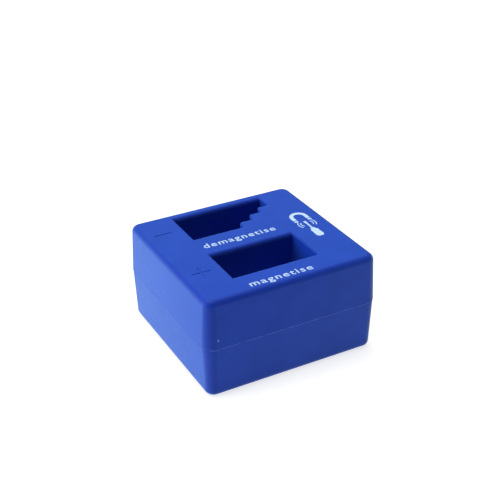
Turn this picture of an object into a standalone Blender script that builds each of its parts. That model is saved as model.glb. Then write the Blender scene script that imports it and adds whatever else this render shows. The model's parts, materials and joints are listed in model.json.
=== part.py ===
"""A screwdriver magnetiser and demagnetiser block, as an assembly.

The case is moulded in two halves that close on a parting plane a little above mid height. Two openings
run right through it: a plain rectangle that magnetises a tool, and one whose right side is a stair, which
demagnetises it. Ferrite magnets and thin steel pole plates stand in pockets beside the openings, each pack
on a strip of foam.

Lengths are in metres and +Z is up. The origin is the centre of the underside, +X runs along the front edge
and +Y from the front face to the back.
"""

import math

import bmesh
import bpy

MM = 0.001

# Outside of the case, at its widest, on the parting plane.
CASE_WIDTH = 50.0 * MM
CASE_DEPTH = 48.0 * MM
CASE_HEIGHT = 28.0 * MM
PARTING_HEIGHT = 14.5 * MM
DRAFT = math.radians(2.4)  # both halves narrow away from the parting plane
LOWER_STEP = 0.1 * MM  # the lower half is this much smaller all round, so its rim never stands proud
CORNER_RADIUS = 3.1 * MM
SMALLEST_CORNER_RADIUS = 0.6 * MM  # of the hollow inside the walls
TOP_EDGE_RADIUS = 2.0 * MM
BOTTOM_EDGE_RADIUS = 1.8 * MM

# Walls and fits.
CASE_WALL = 2.0 * MM
WELL_WALL = 1.2 * MM
GAP = 0.3 * MM  # left between any two pieces that touch
PAST = 1.0 * MM  # how far a helper runs past the face that it cuts or joins

# The magnetising opening, a rectangle.
MAG_LEFT, MAG_RIGHT = -13.1 * MM, 11.55 * MM
MAG_FRONT, MAG_BACK = -15.5 * MM, -2.4 * MM

# The demagnetising opening: its right side steps outwards towards the back.
DEMAG_LEFT, DEMAG_FRONT, DEMAG_BACK = -13.0 * MM, 6.9 * MM, 20.0 * MM
TREAD_ENDS = [2.0 * MM, 6.4 * MM, 10.5 * MM, 14.0 * MM]
STAIR_RISE = 2.77 * MM  # from each tread to the next one behind it

OPENING_CORNER_RADIUS = 0.5 * MM

# Plus and minus signs sunk in the top, left of the openings.
SIGN_CENTRE_X = -18.8 * MM
SIGN_LENGTH = 5.0 * MM
SIGN_STROKE = 0.6 * MM
SIGN_DEPTH = 0.3 * MM
PLUS_Y = -9.4 * MM
MINUS_Y = 13.5 * MM

# Posts that locate the halves: a pin on the lower one enters a socket in the upper one.
POST_X, POST_Y = 19.0 * MM, 18.2 * MM
POST_RADIUS = 3.0 * MM
PIN_RADIUS = 1.3 * MM
PIN_HEIGHT = 4.0 * MM

# A lip round the lower rim, inside the wall, that enters a rebate in the upper rim.
LIP_HEIGHT = 1.2 * MM
LIP_THICKNESS = 0.7 * MM

RIB_THICKNESS = 1.2 * MM
RIB_Y = 1.6 * MM

# Magnet packs.
PLATE_THICKNESS = 0.8 * MM
CENTRE_MAGNET_THICKNESS = 4.0 * MM
FRONT_MAGNET_THICKNESS = 3.0 * MM
CENTRE_PACK_LEFT, CENTRE_PACK_RIGHT = -13.0 * MM, 13.0 * MM
FRONT_PACK_LEFT, FRONT_PACK_RIGHT = -12.8 * MM, 11.25 * MM
PAD_THICKNESS = 0.9 * MM
PAD_INSET = 0.4 * MM
MAGNET_CHAMFER = 0.4 * MM
PLATE_CHAMFER = 0.15 * MM

ROUND_SEGMENTS = 6
OUTLINE_CORNER_SEGMENTS = 3
POST_SIDES = 24
WELD_DISTANCE = 0.001 * MM
SAME_HEIGHT = 0.0001 * MM
STRAIGHT_ANGLE = 0.01  # edges between faces that turn less than this, in radians, are dissolved

parts = bpy.data.collections.new("magnetiser")
helpers = bpy.data.collections.new("cutters_and_joiners")


def clear_scene():
    for thing in list(bpy.data.objects):
        bpy.data.objects.remove(thing, do_unlink=True)
    for collection in (parts, helpers):
        bpy.context.scene.collection.children.link(collection)


def material(name, colour, roughness, metallic=0.0):
    made = bpy.data.materials.new(name)
    made.use_nodes = True
    shader = made.node_tree.nodes["Principled BSDF"]
    shader.inputs["Base Color"].default_value = (*colour, 1.0)
    shader.inputs["Roughness"].default_value = roughness
    shader.inputs["Metallic"].default_value = metallic
    return made


def object_from(bm, name, collection):
    """A new object with this bmesh's shape."""
    bmesh.ops.recalc_face_normals(bm, faces=bm.faces)
    mesh = bpy.data.meshes.new(name)
    bm.to_mesh(mesh)
    bm.free()
    made = bpy.data.objects.new(name, mesh)
    collection.objects.link(made)
    if collection is helpers:
        made.hide_render = True
        made.display_type = "WIRE"
    return made


def box(name, low, high, collection=helpers):
    """A box between two opposite corners."""
    bm = bmesh.new()
    bmesh.ops.create_cube(bm, size=1.0)
    for vert in bm.verts:
        for axis in range(3):
            share = vert.co[axis] + 0.5
            vert.co[axis] = low[axis] + share * (high[axis] - low[axis])
    return object_from(bm, name, collection)


def cylinder(name, x, y, radius, z_low, z_high):
    bm = bmesh.new()
    bmesh.ops.create_cone(
        bm, cap_ends=True, segments=POST_SIDES, radius1=radius, radius2=radius, depth=z_high - z_low
    )
    bmesh.ops.translate(bm, verts=bm.verts, vec=(x, y, (z_low + z_high) / 2))
    return object_from(bm, name, helpers)


def is_upright(edge):
    direction = edge.verts[1].co - edge.verts[0].co
    return abs(direction.z) > 0.9 * direction.length


def round_edges(bm, edges, radius, segments):
    bmesh.ops.bevel(bm, geom=edges, offset=radius, segments=segments, profile=0.5, affect="EDGES")


def case_half_sizes(z, inset):
    """Half the width and depth of the case at height z, drawn in by inset."""
    drawn_in = math.tan(DRAFT) * abs(z - PARTING_HEIGHT) + inset
    if z < PARTING_HEIGHT:
        drawn_in += LOWER_STEP
    return CASE_WIDTH / 2 - drawn_in, CASE_DEPTH / 2 - drawn_in


def case_block(name, rim_z, end_z, inset, end_edge_radius, collection=helpers):
    """A block that follows the case's draft from rim_z to end_z, inset from its outside. Its upright edges
    are round and so is the edge round end_z. It runs PAST rim_z on the same slope, for trimming."""
    bm = bmesh.new()
    bmesh.ops.create_cube(bm, size=1.0)
    toward_rim = math.copysign(PAST, rim_z - end_z)
    rim_half = case_half_sizes(rim_z, inset)
    end_half = case_half_sizes(end_z, inset)
    share = PAST / abs(rim_z - end_z)
    past_half = [rim + (rim - end) * share for rim, end in zip(rim_half, end_half)]
    for vert in bm.verts:
        is_end = (vert.co.z > 0) == (end_z > rim_z)
        half = end_half if is_end else past_half
        z = end_z if is_end else rim_z + toward_rim
        vert.co = (math.copysign(half[0], vert.co.x), math.copysign(half[1], vert.co.y), z)
    corner = max(CORNER_RADIUS - inset, SMALLEST_CORNER_RADIUS)
    round_edges(bm, [edge for edge in bm.edges if is_upright(edge)], corner, ROUND_SEGMENTS)
    at_end = [edge for edge in bm.edges if all(abs(v.co.z - end_z) < SAME_HEIGHT for v in edge.verts)]
    round_edges(bm, at_end, end_edge_radius, ROUND_SEGMENTS)
    return object_from(bm, name, collection)


def stair_outline():
    """The corners of the demagnetising opening, anticlockwise from its front left."""
    corners = [(DEMAG_LEFT, DEMAG_FRONT)]
    for step, tread_end in enumerate(TREAD_ENDS):
        front = DEMAG_FRONT + step * STAIR_RISE
        corners.append((tread_end, front))
        is_last = step == len(TREAD_ENDS) - 1
        corners.append((tread_end, DEMAG_BACK if is_last else front + STAIR_RISE))
    corners.append((DEMAG_LEFT, DEMAG_BACK))
    return corners


def rectangle_outline():
    """The corners of the magnetising opening, anticlockwise from its front left."""
    return [(MAG_LEFT, MAG_FRONT), (MAG_RIGHT, MAG_FRONT), (MAG_RIGHT, MAG_BACK), (MAG_LEFT, MAG_BACK)]


def grown(outline, by):
    """A right-angled outline with every side moved outwards by the same amount."""
    moved = []
    for index, (x, y) in enumerate(outline):
        before, after = outline[index - 1], outline[(index + 1) % len(outline)]
        shift_x = shift_y = 0.0
        for start, end in ((before, (x, y)), ((x, y), after)):
            run_x, run_y = end[0] - start[0], end[1] - start[1]
            length = math.hypot(run_x, run_y)
            shift_x += by * run_y / length
            shift_y -= by * run_x / length
        moved.append((x + shift_x, y + shift_y))
    return moved


def prism(name, outline, z_low, z_high, corner_radius=0.0):
    """An upright prism on a closed outline, made from a filled curve, with its upright edges rounded."""
    curve = bpy.data.curves.new(name, "CURVE")
    curve.dimensions = "2D"
    curve.fill_mode = "BOTH"
    curve.extrude = (z_high - z_low) / 2
    spline = curve.splines.new("POLY")
    spline.points.add(len(outline) - 1)
    spline.use_cyclic_u = True
    for point, (x, y) in zip(spline.points, outline):
        point.co = (x, y, 0.0, 1.0)
    drawn = bpy.data.objects.new(name + "_outline", curve)
    helpers.objects.link(drawn)
    bpy.context.view_layer.update()
    filled = bpy.data.meshes.new_from_object(drawn.evaluated_get(bpy.context.evaluated_depsgraph_get()))
    bpy.data.objects.remove(drawn)
    bm = bmesh.new()
    bm.from_mesh(filled)
    bmesh.ops.remove_doubles(bm, verts=bm.verts, dist=WELD_DISTANCE)
    bmesh.ops.dissolve_limit(bm, angle_limit=STRAIGHT_ANGLE, verts=bm.verts, edges=bm.edges)
    bmesh.ops.translate(bm, verts=bm.verts, vec=(0.0, 0.0, (z_low + z_high) / 2))
    if corner_radius:
        upright = [edge for edge in bm.edges if is_upright(edge)]
        round_edges(bm, upright, corner_radius, OUTLINE_CORNER_SEGMENTS)
    return object_from(bm, name, helpers)


def boolean(target, helper, operation):
    modifier = target.modifiers.new(helper.name, "BOOLEAN")
    modifier.operation = operation
    modifier.object = helper
    modifier.solver = "EXACT"


def cut(target, *cutters):
    for cutter in cutters:
        boolean(target, cutter, "DIFFERENCE")


def join(target, *joiners):
    for joiner in joiners:
        boolean(target, joiner, "UNION")


def openings():
    return ("magnetising", rectangle_outline()), ("demagnetising", stair_outline())


def opening_cutters(half):
    """A straight prism through each opening, for one half of the case."""
    return [
        prism(f"{half}_{name}_opening", outline, -PAST, CASE_HEIGHT + PAST, OPENING_CORNER_RADIUS)
        for name, outline in openings()
    ]


def well_blocks(half, z_low, z_high):
    """The solid round each opening, from which the opening's own cutter leaves a wall. The demagnetising well
    is so near the back of the case that a third block joins the two."""
    blocks = [
        prism(f"{half}_{name}_well", grown(outline, WELL_WALL), z_low, z_high, OPENING_CORNER_RADIUS)
        for name, outline in openings()
    ]
    low = (DEMAG_LEFT - WELL_WALL / 2, DEMAG_BACK + WELL_WALL / 2, z_low)
    high = (TREAD_ENDS[-1] + WELL_WALL / 2, (CASE_DEPTH - CASE_WALL) / 2, z_high)
    blocks.append(box(f"{half}_demagnetising_well_backing", low, high))
    return blocks


def centre_pocket():
    """Left, right, front and back of the pocket between the openings."""
    return (
        CENTRE_PACK_LEFT - GAP,
        CENTRE_PACK_RIGHT + GAP,
        MAG_BACK + WELL_WALL,
        DEMAG_FRONT - WELL_WALL,
    )


def front_pocket():
    """Left, right, front and back of the pocket between the front wall and the magnetising opening."""
    front = -case_half_sizes(CASE_HEIGHT - CASE_WALL, CASE_WALL)[1]
    return FRONT_PACK_LEFT - GAP, FRONT_PACK_RIGHT + GAP, front, MAG_FRONT - WELL_WALL


def pocket_box(name, pocket, z_low, z_high, wall):
    left, right, front, back = pocket
    return box(name, (left - wall, front - wall, z_low), (right + wall, back + wall, z_high))


def pockets():
    return ("centre", centre_pocket()), ("front", front_pocket())


def pocket_blocks(half, z_low, z_high):
    """The solid round each magnet pocket."""
    return [
        pocket_box(f"{half}_{name}_pocket_wall", pocket, z_low, z_high, RIB_THICKNESS)
        for name, pocket in pockets()
    ]


def pocket_cutters(half, z_low, z_high):
    return [pocket_box(f"{half}_{name}_pocket", pocket, z_low, z_high, 0.0) for name, pocket in pockets()]


def posts(half, z_low, z_high, radius):
    return [
        cylinder(f"{half}_post_{index}", side_x * POST_X, side_y * POST_Y, radius, z_low, z_high)
        for index, (side_x, side_y) in enumerate(((-1, -1), (1, -1), (1, 1), (-1, 1)))
    ]


def ribs(half, z_low, z_high):
    """A stiffening rib on each side, from the outer wall to the magnets' centre pocket."""
    wall_x = CASE_WIDTH / 2 - CASE_WALL / 2
    inner = {-1: CENTRE_PACK_LEFT - RIB_THICKNESS, 1: CENTRE_PACK_RIGHT + RIB_THICKNESS}
    made = []
    for side in (-1, 1):
        low_x, high_x = sorted((side * wall_x, inner[side]))
        name = f"{half}_{'left' if side < 0 else 'right'}_rib"
        low_y = RIB_Y - RIB_THICKNESS / 2
        made.append(box(name, (low_x, low_y, z_low), (high_x, low_y + RIB_THICKNESS, z_high)))
    return made


def lip_ring(name, z_low, z_high, clearance):
    """A ring that follows the inside of the wall at the parting plane, with the clearance on both sides."""
    half_x, half_y = case_half_sizes(PARTING_HEIGHT, CASE_WALL)
    rings = []
    for suffix, out in (("", LIP_THICKNESS + clearance), ("_bore", -clearance)):
        outline = [(-half_x - out, -half_y - out), (half_x + out, -half_y - out)]
        outline += [(half_x + out, half_y + out), (-half_x - out, half_y + out)]
        corner = CORNER_RADIUS - CASE_WALL + out
        stretch = PAST if suffix else 0.0
        rings.append(prism(name + suffix, outline, z_low - stretch, z_high + stretch, corner))
    cut(rings[0], rings[1])
    return rings[0]


def signs():
    """Cutters for the minus sign beside the demagnetising opening and the plus sign beside the other."""
    half_length, half_stroke = SIGN_LENGTH / 2, SIGN_STROKE / 2
    bars = (
        ("minus_bar", MINUS_Y, half_length, half_stroke),
        ("plus_bar", PLUS_Y, half_length, half_stroke),
        ("plus_upright", PLUS_Y, half_stroke, half_length),
    )
    low_z = CASE_HEIGHT - SIGN_DEPTH
    return [
        box(
            name,
            (SIGN_CENTRE_X - half_x, y - half_y, low_z),
            (SIGN_CENTRE_X + half_x, y + half_y, CASE_HEIGHT + PAST),
        )
        for name, y, half_x, half_y in bars
    ]


def trim(half, z_low, z_high):
    """A cutter that is much wider than the case, between two heights."""
    return box(f"{half}_trim", (-CASE_WIDTH, -CASE_DEPTH, z_low), (CASE_WIDTH, CASE_DEPTH, z_high))


def upper_shell(plastic):
    """The top, the walls down to the parting plane, and the upper half of every well, pocket and post."""
    rim = PARTING_HEIGHT + GAP / 2
    ceiling = CASE_HEIGHT - CASE_WALL
    shell = case_block("upper_shell", rim, CASE_HEIGHT, 0.0, TOP_EDGE_RADIUS, parts)
    shell.data.materials.append(plastic)
    hollow = case_block("upper_hollow", rim - PAST, ceiling, CASE_WALL, TOP_EDGE_RADIUS / 2)
    inside_low, inside_high = rim - PAST, ceiling + CASE_WALL / 2
    cut(shell, hollow)
    join(shell, *well_blocks("upper", inside_low, inside_high))
    join(shell, *pocket_blocks("upper", inside_low, inside_high))
    join(shell, *posts("upper", inside_low, inside_high, POST_RADIUS))
    join(shell, *ribs("upper", inside_low, inside_high))
    cut(shell, *pocket_cutters("upper", 0.0, ceiling))
    cut(shell, *opening_cutters("upper"))
    cut(shell, trim("upper", -PAST, rim))
    cut(shell, lip_ring("upper_rebate", rim - PAST, rim + LIP_HEIGHT, GAP))
    cut(shell, *posts("upper_socket", rim - PAST, rim + PIN_HEIGHT, PIN_RADIUS + GAP))
    cut(shell, *signs())


def lower_shell(plastic):
    """The underside, the walls up to the parting plane, the lip, and the lower half of everything inside."""
    rim = PARTING_HEIGHT - GAP / 2
    floor = CASE_WALL
    shell = case_block("lower_shell", rim, 0.0, 0.0, BOTTOM_EDGE_RADIUS, parts)
    shell.data.materials.append(plastic)
    hollow = case_block("lower_hollow", rim + PAST, floor, CASE_WALL, BOTTOM_EDGE_RADIUS / 2)
    inside_low, inside_high = floor - CASE_WALL / 2, rim + PAST
    cut(shell, hollow)
    join(shell, *well_blocks("lower", inside_low, inside_high))
    join(shell, *pocket_blocks("lower", inside_low, inside_high))
    join(shell, *posts("lower", inside_low, inside_high, POST_RADIUS))
    join(shell, *ribs("lower", inside_low, inside_high))
    cut(shell, *pocket_cutters("lower", floor, CASE_HEIGHT))
    cut(shell, *opening_cutters("lower"))
    cut(shell, trim("lower", rim, CASE_HEIGHT + PAST))
    join(shell, lip_ring("lower_lip", rim - PAST, rim + LIP_HEIGHT, 0.0))
    join(shell, *posts("lower_pin", rim - PAST, rim + PIN_HEIGHT, PIN_RADIUS))


def chamfered_plate(name, low, high, chamfer, look):
    """A block of the magnet packs, with its edges broken."""
    plate = box(name, low, high, parts)
    plate.data.materials.append(look)
    bevel = plate.modifiers.new("broken_edges", "BEVEL")
    bevel.width = chamfer
    bevel.segments = 1
    return plate


def magnet_pack(layers, left, right, front):
    """Stands a row of plates from front to back, a gap apart, and gives the y of its back. Each layer is
    (name, thickness, chamfer, material)."""
    low_z = CASE_WALL + GAP + PAD_THICKNESS + GAP
    high_z = CASE_HEIGHT - CASE_WALL - GAP
    y = front
    for name, thickness, chamfer, look in layers:
        chamfered_plate(name, (left, y, low_z), (right, y + thickness, high_z), chamfer, look)
        y += thickness + GAP
    return y - GAP


def foam_pad(name, left, right, front, back, look):
    low_z = CASE_WALL + GAP
    low = (left + PAD_INSET, front + PAD_INSET, low_z)
    high = (right - PAD_INSET, back - PAD_INSET, low_z + PAD_THICKNESS)
    pad = box(name, low, high, parts)
    pad.data.materials.append(look)


def magnet_packs():
    """The centre pack has a magnet between two pole plates, the front pack a magnet with one pole plate
    behind it. Both stand on a foam pad."""
    ferrite = material("ferrite", (0.035, 0.036, 0.038), 0.55)
    steel = material("pole_steel", (0.55, 0.56, 0.58), 0.35, 1.0)
    foam = material("foam", (0.06, 0.06, 0.065), 0.95)
    plate = (PLATE_THICKNESS, PLATE_CHAMFER, steel)
    front = centre_pocket()[2] + GAP
    back = magnet_pack(
        [
            ("centre_front_pole_plate", *plate),
            ("centre_magnet", CENTRE_MAGNET_THICKNESS, MAGNET_CHAMFER, ferrite),
            ("centre_back_pole_plate", *plate),
        ],
        CENTRE_PACK_LEFT,
        CENTRE_PACK_RIGHT,
        front,
    )
    foam_pad("centre_foam_pad", CENTRE_PACK_LEFT, CENTRE_PACK_RIGHT, front, back, foam)
    back = front_pocket()[3] - GAP
    front = back - PLATE_THICKNESS - GAP - FRONT_MAGNET_THICKNESS
    magnet_pack(
        [("front_magnet", FRONT_MAGNET_THICKNESS, MAGNET_CHAMFER, ferrite), ("front_pole_plate", *plate)],
        FRONT_PACK_LEFT,
        FRONT_PACK_RIGHT,
        front,
    )
    foam_pad("front_foam_pad", FRONT_PACK_LEFT, FRONT_PACK_RIGHT, front, back, foam)


def main():
    clear_scene()
    plastic = material("shell_blue", (0.03, 0.08, 0.55), 0.4)
    upper_shell(plastic)
    lower_shell(plastic)
    magnet_packs()


main()
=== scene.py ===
"""The finished look of a screwdriver magnetiser and demagnetiser block.

The two halves of its blue moulded case are worked out here as closed surfaces: walls that carry a profile
round an outline, and flats that fill what lies between outlines. Legends and a pictogram are printed on
the top in white ink. The magnets and their steel plates keep their shape and get their finish here, and
their foam pads are made again with the dents that the packs press into them.

A piece of the case carries a wear attribute, which also paints light on it. Handling wears its rounded
edges, so they have EDGE_WEAR_AND_PAINTED_SHADE, which also paints them a deeper blue as painted shade. The
seam's edges have more, which paints them pale at the front as a painted highlight, and walls that dust and
hands don't reach have the negative value SHELTERED.

Lengths are in metres. +X runs along the front edge, +Y to the back and +Z up, from the centre of the
underside.
"""

import json
import math

import bmesh
import bpy
import numpy as np
from mathutils import Matrix, Vector
from mathutils.geometry import delaunay_2d_cdt


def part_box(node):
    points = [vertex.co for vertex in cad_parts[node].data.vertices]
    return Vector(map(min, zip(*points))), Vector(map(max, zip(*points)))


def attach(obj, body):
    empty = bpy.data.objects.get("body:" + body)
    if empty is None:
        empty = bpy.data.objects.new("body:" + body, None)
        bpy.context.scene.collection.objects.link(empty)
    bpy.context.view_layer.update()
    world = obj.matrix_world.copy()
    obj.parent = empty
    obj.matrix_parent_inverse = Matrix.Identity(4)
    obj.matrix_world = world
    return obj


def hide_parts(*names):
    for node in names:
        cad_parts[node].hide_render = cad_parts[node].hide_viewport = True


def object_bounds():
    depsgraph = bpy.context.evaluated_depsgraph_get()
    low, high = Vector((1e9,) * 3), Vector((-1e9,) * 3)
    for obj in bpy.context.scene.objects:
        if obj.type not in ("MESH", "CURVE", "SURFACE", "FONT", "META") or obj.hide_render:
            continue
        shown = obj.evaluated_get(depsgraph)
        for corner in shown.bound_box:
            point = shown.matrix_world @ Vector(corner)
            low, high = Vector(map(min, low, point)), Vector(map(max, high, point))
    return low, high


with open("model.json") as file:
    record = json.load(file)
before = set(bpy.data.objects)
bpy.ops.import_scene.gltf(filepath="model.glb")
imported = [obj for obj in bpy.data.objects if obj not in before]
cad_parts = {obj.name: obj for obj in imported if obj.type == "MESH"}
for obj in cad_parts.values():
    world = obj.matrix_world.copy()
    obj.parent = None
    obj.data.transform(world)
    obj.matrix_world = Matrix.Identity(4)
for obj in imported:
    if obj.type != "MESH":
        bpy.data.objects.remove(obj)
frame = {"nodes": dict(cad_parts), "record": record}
cad_low, cad_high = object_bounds()

MM = 0.001

# The case outside.
PARTING_GAP = 0.07 * MM
SEAM_EDGE_RADIUS = 0.1 * MM
DRAFT = math.radians(2.4)
LOWER_STEP = 0.1 * MM
CASE_CORNER_RADIUS = 3.1 * MM
TOP_EDGE_RADIUS = 1.6 * MM
BOTTOM_EDGE_RADIUS = 1.8 * MM
INK_THICKNESS = 0.02 * MM

# The openings. The record's boxes stand this far inside their walls.
BOX_CLEARANCE = 0.2 * MM
OPENING_CORNER_RADIUS = 0.25 * MM
STEP_NOSE_RADIUS = 0.8 * MM
MOUTH_EDGE_RADIUS, MOUTH_GROWTH_AT_BACK = 0.28 * MM, 3.6

# The plus and minus signs, sunk in the top to the left of the openings.
SIGN_FROM_OPENING = 5.75 * MM
SIGN_LENGTH = 5.0 * MM
SIGN_STROKE = 0.55 * MM
SIGN_DEPTH = 0.13 * MM
SIGN_EDGE_RADIUS = 0.1 * MM
SIGN_CORNER_RADIUS = 0.12 * MM
SIGN_HOLDING_LOOP = 0.05 * MM
PLUS_FORWARD = 0.45 * MM

# How much handling wears the case, as its wear attribute says. The same numbers paint a deeper blue on its
# rounded edges and upright corners as painted shade, and a pale line on the front of the seam as a painted
# highlight.
EDGE_WEAR_AND_PAINTED_SHADE, SIGN_WEAR_AND_PAINTED_SHADE, SEAM_WEAR_AND_PAINTED_LIGHT = 1.0, 0.5, 10.0
SEAM_WEAR_AND_HIGHLIGHT_AT_SIDES = 0.1  # as a share of the wear at the front, and of the painted highlight there
SHELTERED = -1.0

# Inside the case. GAP is what the CAD model keeps between pieces that touch.
GAP = 0.3 * MM
CEILING, INNER_FLOOR = 26.0 * MM, 2.0 * MM
COMPARTMENT_INSET = 2.5 * MM
INNER_WALL = 1.4 * MM
INNER_DRAFT = 0.1 * MM
TONGUE = (2.0 * MM, 1.3 * MM, 1.2 * MM)  # how far in its inner and outer sides are, and its height
TONGUE_CLEARANCE = 0.1 * MM
RIB_Y, RIB_THICKNESS = 1.6 * MM, 1.2 * MM
POST_X, POST_Y, POST_RADIUS = 19.0 * MM, 18.2 * MM, 3.0 * MM
PIN_RADIUS, PIN_HEIGHT, PIN_CLEARANCE, PIN_CHAMFER = 1.3 * MM, 4.0 * MM, 0.1 * MM, 0.3 * MM
POCKET_CORNER_RADIUS = 0.3 * MM
COMPARTMENT_CORNER_RADIUS = 0.5 * MM
CENTRE_PACK = ("centre_front_pole_plate", "centre_magnet", "centre_back_pole_plate")
FRONT_PACK = ("front_magnet", "front_pole_plate")
PAD_CORNER_RADIUS = 0.4 * MM
PAD_BULGE = 0.12 * MM
PAD_DIP, PAD_EASE = 0.12 * MM, 0.25 * MM
PAD_SIDE_ROWS, PAD_FACE_ROWS = 9, 22
PAD_TOP_ZONE = 0.8  # the share of its height above which a pad's points follow the dents

# What is printed on the top: each legend's left and right end and its baseline, then the pictogram.
REAR_LEGEND = (-12.4 * MM, 8.8 * MM, 1.25 * MM)
FRONT_LEGEND = (-11.0 * MM, 6.8 * MM, -21.2 * MM)
LETTER_SIZE, LETTER_BOLDNESS, LETTER_SPACING = 3.2 * MM, 0.031 * MM, 1.2
LETTER_CURVE_STEPS = 3
PICTOGRAM_X, PICTOGRAM_ARCH_Y = 17.8 * MM, 4.6 * MM
HORSESHOE_RADII, HORSESHOE_LEG, HORSESHOE_POLE = (2.6 * MM, 1.5 * MM), 1.6 * MM, 1.0 * MM
PICTOGRAM_GAP, PICTOGRAM_CORNER = 0.3 * MM, 0.12 * MM
SCREWDRIVER_LENGTH = 9.0 * MM
FIELD_Y, FIELD_RADII, FIELD_STROKE = 0.2 * MM, (1.6 * MM, 2.4 * MM), 0.28 * MM
FIELD_SPREAD = 38  # how many degrees above and below level each bow reaches
ARC_STEPS = 24

# The mark of the mould's gate, on the front face.
GATE_X, GATE_HEIGHT, GATE_RADIUS = -21.7 * MM, 17.1 * MM, 0.24 * MM
GATE_PROUD, GATE_SUNK = 0.03 * MM, 0.01 * MM
GATE_ROOT = 3 * GATE_SUNK  # how far behind the face the middle of its hidden back is
GATE_RINGS, GATE_SPOKES = 6, 24

# Colours, as linear light.
PLASTIC_COLOURS = ((0.003, 0.034, 0.37), (0.005, 0.040, 0.41))
# PLASTIC_PAINTED_EDGE_SHADE is painted shade, the deeper blue of the rounded edges and upright corners,
# and PLASTIC_PAINTED_SEAM_HIGHLIGHT is a painted highlight, the pale line on the front of the seam.
PLASTIC_PAINTED_EDGE_SHADE, PLASTIC_PAINTED_SEAM_HIGHLIGHT = (0.001, 0.018, 0.28), (0.14, 0.25, 0.8)
PLASTIC_TORN = ((0.12, 0.22, 0.7), (0.3, 0.42, 0.85))
DUST_COLOUR, DUST_ROUGHNESS = (0.38, 0.77, 1.0), 0.5
OUTSIDE_DUST_AND_GLOSS, SHELTERED_DUST_AND_GLOSS = (0.41, 0.1), (0.06, 0.02)
PLASTIC_ROUGHNESS = (0.46, 0.56)
INK_COLOURS = ((0.46, 0.62, 0.80), (0.3, 0.46, 0.74))
FERRITE_COLOURS = ((0.022, 0.022, 0.024), (0.06, 0.055, 0.05))
STEEL_COLOURS = ((0.56, 0.57, 0.59), (0.42, 0.41, 0.40))
FOAM_COLOURS = ((0.012, 0.012, 0.013), (0.045, 0.045, 0.048))
FLOOR_COLOURS, FLOOR_GLOW = ((0.4, 0.4, 0.4), (0.44, 0.44, 0.44)), 0.74
WHITE = (1.0, 1.0, 1.0, 1.0)

# Camera and light.
CAMERA_ANGLES = (-28.3635, 29.3382, -0.4041)  # azimuth, elevation and roll, in degrees
CAMERA_LENS = 73.9865
CAMERA_DISTANCE, CAMERA_SLIDE = 277.406 * MM, (0.0, 9.363 * MM)
CAMERA_CLIP = (0.01, 20.0)
TENT_GLOW = (0.09, 0.96)  # as light on the block, and as seen behind it
SOFTBOXES = (  # name, direction from the block, distance, side and power, in metres and watts
    ("left_softbox", (-1.0, 0.3, 0.17), 1.0, 0.45, 9.0),
    ("overhead_softbox", (-0.1, 0.22, 1.0), 1.1, 0.9, 16.5),
)
FLOOR_HALF = 3.0

# How finely the surfaces are drawn.
CORNER_STEPS = 8
EDGE_STEPS = 8
FINE_EDGE_STEPS = 4
HOLDING_LOOP = 0.12 * MM  # a line of points this far from each rounded edge keeps the flats beside it flat
SMALLEST_RADIUS = 0.02 * MM
WELD, LETTER_WELD = 0.0005 * MM, 0.01 * MM
SAME_POINT = 1e-9
CREASE = math.radians(38)


# ---- Outlines, walls and flats ----


class Outline:
    """A closed, right-angled outline with rounded corners, given anticlockwise."""

    def __init__(self, corners, radius, nose_radius=None):
        """radius is for corners that turn left, and nose_radius, if given, for those that turn right."""
        self.here = np.asarray(corners, float)
        back = np.roll(self.here, 1, axis=0) - self.here
        ahead = np.roll(self.here, -1, axis=0) - self.here
        self.back = back / np.linalg.norm(back, axis=1)[:, None]
        self.ahead = ahead / np.linalg.norm(ahead, axis=1)[:, None]
        self.outward = np.stack(
            [self.ahead[:, 1] - self.back[:, 1], self.back[:, 0] - self.ahead[:, 0]], axis=1
        )
        turns_left = (self.outward * (self.back + self.ahead)).sum(axis=1) < 0
        self.side = np.where(turns_left, 1.0, -1.0)
        self.radius = np.where(turns_left, radius, radius if nose_radius is None else nose_radius)

    def ring(self, out=0.0):
        """The outline's points with every side moved outwards by out. Each corner is a quarter circle
        about a centre that lies its radius in from both sides. A radius grows by out at a corner that
        turns left and shrinks by it at one that turns right, so rings of one outline run parallel and
        match point for point."""
        bend = np.maximum(self.radius + self.side * out, SMALLEST_RADIUS)[:, None]
        centre = self.here + out * self.outward + bend * (self.back + self.ahead)
        return (centre[:, None] - bend[:, None] * self.towards_the_centre()).reshape(-1, 2)

    def outwards(self):
        """The unit vector that points outwards at each of the ring's points."""
        return (-self.side[:, None, None] * self.towards_the_centre()).reshape(-1, 2)

    def towards_the_centre(self):
        """The unit vectors from each corner's points to its centre: ahead turning evenly into back."""
        angle = np.linspace(0.0, math.pi / 2, CORNER_STEPS + 1)[None, :, None]
        return self.ahead[:, None] * np.cos(angle) + self.back[:, None] * np.sin(angle)


def rectangle(left, right, front, back, radius):
    return Outline([(left, front), (right, front), (right, back), (left, back)], radius)


def circle(x, y, radius):
    """A square whose corners are rounded by half its side."""
    return rectangle(x - radius, x + radius, y - radius, y + radius, radius)


def wall(outline, profile):
    """Carries a profile round an outline. The profile is rows of (out, height) or (out, height, wear),
    and its solid lies on its left, so an outside wall's rows go up. Row i gives a ring whose every point
    lies out from the outline and at that height."""
    out, height, wear = zip(*(row if len(row) == 3 else (*row, 0.0) for row in profile))
    return bands([outline.ring(step) for step in out], height, wear)


def bands(rings, heights, wear):
    """Joins rings that match point for point with quads. A ring's height and its wear are one number
    each, or one for each of its points."""
    around = len(rings[0])
    level = [np.broadcast_to(height, around) for height in heights]
    worn_and_painted_light = [np.broadcast_to(share, around) for share in wear]
    points = np.concatenate([np.column_stack([ring, z]) for ring, z in zip(rings, level)])
    index = np.arange(len(points)).reshape(len(rings), around)
    after = np.roll(index, -1, axis=1)
    quads = np.stack([index[:-1], after[:-1], after[1:], index[1:]], axis=-1).reshape(-1, 4)
    return points, quads, np.concatenate(worn_and_painted_light)


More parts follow.
